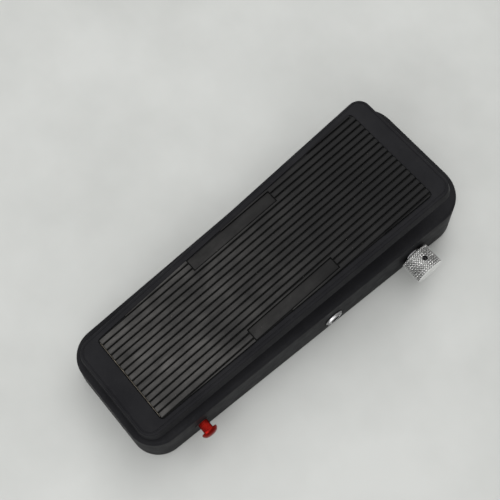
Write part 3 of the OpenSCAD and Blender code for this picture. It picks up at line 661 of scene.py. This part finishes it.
RIB_H = 1.5
RIB_SIDE = [(1.7, 0.0), (1.55, 0.6), (1.42, 1.15), (1.28, 1.36), (1.05, 1.47), (0.5, RIB_H)]
RIB_SECTION = [(-x, z) for x, z in RIB_SIDE] + RIB_SIDE[::-1]
RIB_HALF = 1.75
NARROWEST_RIB = 0.5
RIB_END_DROP = 0.25
RIB_END_RUN = 0.5
RIB_WEAR = 0.14
RIB_NICK = 0.5
RIB_SWAY = 0.05
RIB_FOOT = TREADLE_TOP - MAT_RECESS + 0.75
RIB_START = -MAT_BACK + 0.75
STATION = 1.6
FAR_OUT = 99.0
PANEL_LOW = 0.7
PANEL_TOP = 1.8
DUST_STEPS = 80
DUST_FROM_HEEL = 0.08
DUST_WIDTH = 0.42
DUST_HEIGHT = 0.28


def stations(low, high):
    """Evenly spaced places along a rib, about STATION apart"""
    count = max(2, round((high - low) / STATION))
    return [low + (high - low) * k / count for k in range(count + 1)]


def rib(shape, centre, low, high, x_low=-FAR_OUT, x_high=FAR_OUT):
    """One rib between two places, cut off at the mat's sides and at the limits in X"""
    rows = []
    for y in stations(low, high):
        half = mat_half(y)
        left = max(x_low, -half)
        right = min(x_high, half)
        if min(right, centre + RIB_HALF) - max(left, centre - RIB_HALF) < NARROWEST_RIB:
            continue
        to_end = min(y - low, high - y)
        drop = RIB_END_DROP * max(0.0, 1 - to_end / RIB_END_RUN)
        worn = RIB_WEAR * max(0.0, noise.noise(Vector((centre * 0.11, y * 0.03, 4.0))))
        nick = RIB_NICK * max(0.0, noise.noise(Vector((centre * 0.9, y * 0.35, 9.0))) - 0.45)
        sway = RIB_SWAY * noise.noise(Vector((centre, y * 0.06, 1.0)))
        row = []
        for x, z in RIB_SECTION:
            height = z - (drop + worn + nick) * (z / RIB_H)
            at = min(max(centre + x + sway, left), right)
            row.append(ON_TREADLE @ Vector((at, y, RIB_FOOT + height)))
        rows.append(row)
    if len(rows) > 1:
        shape.loft(rows)


def build_mat():
    """The ribbed rubber mat with its two blank panels"""
    floor = TREADLE_TOP - MAT_RECESS
    sheet = Shape()
    sheet.loft([
        ring(mat_outline(0), floor, ON_TREADLE),
        ring(mat_outline(0), TREADLE_TOP - 0.15, ON_TREADLE),
        ring(mat_outline(-0.15), TREADLE_TOP, ON_TREADLE),
    ])
    panel_end = PANEL_Y + PANEL_LEN
    for i in range(-RIB_COUNT_A_SIDE, RIB_COUNT_A_SIDE + 1):
        centre = i * RIB_PITCH
        near_panel = abs(abs(i) - PANEL_RIB) <= 1
        if not near_panel:
            rib(sheet, centre, RIB_START, MAT_FRONT)
            continue
        rib(sheet, centre, RIB_START, PANEL_Y)
        rib(sheet, centre, panel_end, MAT_FRONT)
        if abs(i) == PANEL_RIB:
            continue
        inner = (PANEL_RIB - 1) * RIB_PITCH - PANEL_GAP
        outer = (PANEL_RIB + 1) * RIB_PITCH + PANEL_GAP
        if abs(i) < PANEL_RIB:
            rib(sheet, centre, PANEL_Y, panel_end, -inner, inner)
        elif i > 0:
            rib(sheet, centre, PANEL_Y, panel_end, outer, FAR_OUT)
        else:
            rib(sheet, centre, PANEL_Y, panel_end, -FAR_OUT, -outer)
    for side in (-1, 1):
        middle = side * PANEL_RIB * RIB_PITCH
        half = RIB_PITCH - PANEL_GAP
        sheet.bar((middle - half, PANEL_Y + 2 * PANEL_GAP, floor + PANEL_LOW),
                  (middle + half, panel_end - 2 * PANEL_GAP, floor + PANEL_TOP), 0.3, ON_TREADLE)
    mat = sheet.make("ribbed_mat", smooth=40.0)
    mat.data.materials.append(SURFACES["tread_rubber"].mat)
    place(mat, "treadle", "tread_rubber", "tread_mat")


def build_edge_dust():
    """Dust and scuffed rubber that stand proud along the mat's heel edge"""
    half = MAT_HEEL_W / 2 - MAT_CORNER_R
    low_y = -MAT_BACK + DUST_FROM_HEEL
    low_z = TREADLE_TOP - 0.1
    rows = []
    for k in range(DUST_STEPS + 1):
        x = -half + 2 * half * k / DUST_STEPS
        wide = DUST_WIDTH + 0.1 * noise.noise(Vector((x * 0.25, 3.0, 0.0)))
        high = TREADLE_TOP + DUST_HEIGHT + 0.12 * noise.noise(Vector((x * 0.4, 7.0, 0.0)))
        section = ((low_y, low_z), (low_y + 0.1, high - 0.08), (low_y + 0.5 * wide, high),
                   (low_y + wide - 0.1, high - 0.1), (low_y + wide, low_z))
        rows.append([ON_TREADLE @ Vector((x, y, z)) for y, z in section])
    line = Shape().loft(rows).make("mat_edge_dust")
    line.data.materials.append(EDGE_DUST.mat)
    place(line, "treadle", "tread_rubber")


build_mat()
build_edge_dust()


# ---- knob, button and nuts ----

KNURL_TEETH = 34
KNURL_PITCH = 1.5
KNURL_STEEPNESS = 1.25
KNURL_RINGS = 84
KNOB_RECESS_R = 8.0
KNOB_RECESS = 3.0
KNOB_SHAFT_R = 3.02
KNOB_CENTRE_R = 0.4
KNOB_DISH_R = 7.4
KNOB_DISH = 0.25
SCREW_HOLE_X = 7.2
SCREW_HOLE_R = 1.75


def knurl(along, r, turn):
    """Radius of a diamond knurl. Rings narrower than the knob stay round."""
    if r < KNOB_R:
        return r
    around = KNURL_TEETH * turn / (2 * math.pi)
    rise = 1.0
    for way in (-1, 1):
        share = (around + way * along / KNURL_PITCH) % 1.0
        rise = min(rise, 2 * min(share, 1 - share))
    return r - KNURL_DEPTH * (1 - min(1.0, rise * KNURL_STEEPNESS))


def build_knob():
    """The control knob: diamond knurl, chamfered ends, a hollow back and its set screw's hole"""
    low, high = KNOB_EDGE, KNOB_LEN - KNOB_EDGE
    outside = [(low + (high - low) * k / KNURL_RINGS, KNOB_R) for k in range(KNURL_RINGS + 1)]
    profile = [(KNOB_RECESS, KNOB_CENTRE_R), (KNOB_RECESS, KNOB_SHAFT_R), (KNOB_RECESS, KNOB_RECESS_R),
               (0.0, KNOB_RECESS_R), (0.0, KNOB_R - 0.75), (low - 0.02, KNOB_R - 0.12)]
    profile += outside
    profile += [(high + 0.02, KNOB_R - 0.12), (KNOB_LEN, KNOB_R - 0.85), (KNOB_LEN, KNOB_DISH_R),
                (KNOB_LEN - KNOB_DISH, KNOB_DISH_R - 0.3), (KNOB_LEN - KNOB_DISH, KNOB_CENTRE_R)]
    shape = Shape().lathe(profile, KNOB_X, KNOB_Y, CONTROL_Z, KNURL_TEETH * 7, knurl)
    knob = shape.make("knurled_knob", 28.0)
    hole = circle(KNOB_X + SCREW_HOLE_X, KNOB_Y, SCREW_HOLE_R, 40)
    cut(knob, Shape().loft([ring(hole, CONTROL_Z + 3.1), ring(hole, CONTROL_Z + 12)]).make("hole"), 28.0)
    place(knob, "knob", "knob_aluminium", "control_knob")


build_knob()

STEM_R = 3.25
STEM_OUT = 6.2
STEM_BACK = -12
STEM_RIDGES = 26
RIDGES_FROM = -1.0
RIDGE_DEPTH = 0.18
HEAD_R = 5.35
HEAD_EDGE = 0.15
DOME_H = 3.2
DOME_STEPS = 15


def fluted(along, r, turn):
    """Radius of the button's ridged stem"""
    if r != STEM_R or along < RIDGES_FROM:
        return r
    return r - RIDGE_DEPTH / 2 * (1 - math.cos(STEM_RIDGES * turn))


def build_button():
    """The kick button: a ridged stem and a domed head with a flat underside"""
    profile = [(STEM_BACK, 0.3), (STEM_BACK, STEM_R - 0.2), (STEM_BACK + 0.2, STEM_R),
               (RIDGES_FROM, STEM_R), (RIDGES_FROM + 0.1, STEM_R), (STEM_OUT, STEM_R),
               (STEM_OUT, HEAD_R - 0.25)]
    dome_x = STEM_OUT + HEAD_EDGE
    profile.append((dome_x, HEAD_R))
    for k in range(1, DOME_STEPS):
        turn = math.radians(90 * k / DOME_STEPS)
        profile.append((dome_x + DOME_H * math.sin(turn), HEAD_R * math.cos(turn) ** 0.8))
    profile.append((dome_x + DOME_H, 0.12))
    shape = Shape().lathe(profile, KICK_X, KICK_Y, CONTROL_Z, STEM_RIDGES * 8, fluted)
    place(shape.make("kick_button_cap", 40.0), "kick", "red_anodised", "kick_button")


build_button()

NUT_FROM = 0.75
NUT_TO = 1.65
NUT_CORNER_R = 6.0
NUT_BORE_R = 4.75
BUSH_R = 4.68
BUSH_BORE_R = 3.3
# a bush's section: places outside the wall, and radii
BUSH_SECTION = ((0.2, BUSH_BORE_R), (0.2, BUSH_R), (1.7, BUSH_R), (1.82, BUSH_R - 0.15),
                (1.82, BUSH_BORE_R + 0.2), (1.65, BUSH_BORE_R))


def build_nut(name, side, node):
    """A jack's hexagon nut with chamfered corners, on the right (1) or left (-1) wall"""
    count = 60

    def loop(x, reach, limit):
        """One ring of the nut: its hexagon cut off at a limit, or round where there is none"""
        row = []
        for k in range(count):
            a = 2 * math.pi * k / count
            to_flat = (a + math.pi / 6) % (math.pi / 3) - math.pi / 6
            r = reach if limit is None else min(reach / math.cos(to_flat), limit)
            row.append((side * x, JACK_Y + r * math.cos(a), CONTROL_Z + r * math.sin(a)))
        return row

    low, high = JACK_X + NUT_FROM, JACK_X + NUT_TO
    flat = NUT_CORNER_R * math.cos(math.pi / 6)
    rows = [loop(low, flat, flat + 0.25), loop(low + 0.2, flat, FAR_OUT),
            loop(high - 0.35, flat, FAR_OUT), loop(high - 0.15, flat, flat + 0.55),
            loop(high, flat, flat + 0.1), loop(high, NUT_BORE_R + 0.12, None),
            loop(high - 0.12, NUT_BORE_R, None), loop(low, NUT_BORE_R, None)]
    place(Shape().loft(rows, wrap=True).make(name, 25.0), "base", "plated_steel", node)


def build_bush(name, side):
    """The plated ring at a jack's mouth, a little proud of its nut"""
    rows = []
    for x, r in BUSH_SECTION:
        rim = circle(JACK_Y, CONTROL_Z, r, 72)
        rows.append([(side * (JACK_X + x), y, z) for y, z in rim])
    place(Shape().loft(rows, wrap=True).make(name, 30.0), "base", "plated_steel")


for side, name in ((1, "input"), (-1, "output")):
    build_nut(f"{name}_nut", side, f"{name}_jack_nut")
for side, name in ((1, "input"), (-1, "output")):
    build_bush(f"{name}_bush", side)


# ---- floor, light and camera ----

FLOOR_HALF = 20.0


def build_floor():
    mesh = bpy.data.meshes.new("floor")
    corners = [(-FLOOR_HALF, -FLOOR_HALF, 0), (FLOOR_HALF, -FLOOR_HALF, 0),
               (FLOOR_HALF, FLOOR_HALF, 0), (-FLOOR_HALF, FLOOR_HALF, 0)]
    mesh.from_pydata(corners, [], [(0, 1, 2, 3)])
    floor = bpy.data.objects.new("floor", mesh)
    bpy.context.scene.collection.objects.link(floor)
    pale = varied("floor_pale", (0.54, 0.55, 0.535), (0.6, 0.61, 0.595), 90, (0.55, 0.7), 1.2, 0.02)
    mesh.materials.append(pale.mat)


build_floor()


def softbox(name, spot, target, width, height, power, colour=(1, 1, 1)):
    """A soft rectangular light, aimed at a target"""
    data = bpy.data.lights.new(name, "AREA")
    data.shape = "RECTANGLE"
    data.size = width
    data.size_y = height
    data.energy = power
    data.color = colour
    lamp = bpy.data.objects.new(name, data)
    bpy.context.scene.collection.objects.link(lamp)
    lamp.location = spot
    lamp.rotation_mode = "QUATERNION"
    lamp.rotation_quaternion = (Vector(target) - Vector(spot)).to_track_quat("-Z", "Y")


softbox("key", (-0.7, 0.9, 1.5), (0, 0, 0), 1.5, 1.2, 9.0, (1.0, 0.995, 0.98))
softbox("overhead", (-0.3, 0.3, 2.0), (-0.3, 0.3, 0), 3.2, 3.2, 22.0)
softbox("heel_fill", (0.55, -1.0, 1.0), (0, -0.1, 0.02), 1.3, 0.9, 9.0)

world = bpy.data.worlds.new("studio")
bpy.context.scene.world = world
world.use_nodes = True
world.node_tree.nodes["Background"].inputs["Color"].default_value = (1.0, 1.0, 0.985, 1)
world.node_tree.nodes["Background"].inputs["Strength"].default_value = 0.4

view = bpy.context.scene.view_settings
view.view_transform = "Standard"

CAMERA_TARGET = Vector((-0.01973, 0.00175, 0.025))
CAMERA_AZIMUTH = math.radians(41.69)
CAMERA_ELEVATION = math.radians(69.66)
CAMERA_DISTANCE = 0.5093
CAMERA_ROLL = math.radians(1.05)
SENSOR_MM = 36.0
LENS_MM = 58.4


def build_camera():
    """The camera looks down from the right and the heel end, at the photographed angle"""
    level = math.cos(CAMERA_ELEVATION)
    back = Vector((level * math.cos(CAMERA_AZIMUTH), -level * math.sin(CAMERA_AZIMUTH),
                   math.sin(CAMERA_ELEVATION)))
    forward = -back
    right = forward.cross(Vector((0, 0, 1))).normalized()
    up = right.cross(forward)
    c, s = math.cos(CAMERA_ROLL), math.sin(CAMERA_ROLL)
    across, upward = right * c + up * s, up * c - right * s
    data = bpy.data.cameras.new("camera")
    data.sensor_width = SENSOR_MM
    data.lens = LENS_MM
    data.clip_start = 0.01
    camera = bpy.data.objects.new("camera", data)
    bpy.context.scene.collection.objects.link(camera)
    turned = Matrix((across, upward, back)).transposed()
    camera.matrix_world = Matrix.Translation(CAMERA_TARGET + back * CAMERA_DISTANCE) @ turned.to_4x4()
    bpy.context.scene.camera = camera


build_camera()

bpy.context.view_layer.update()
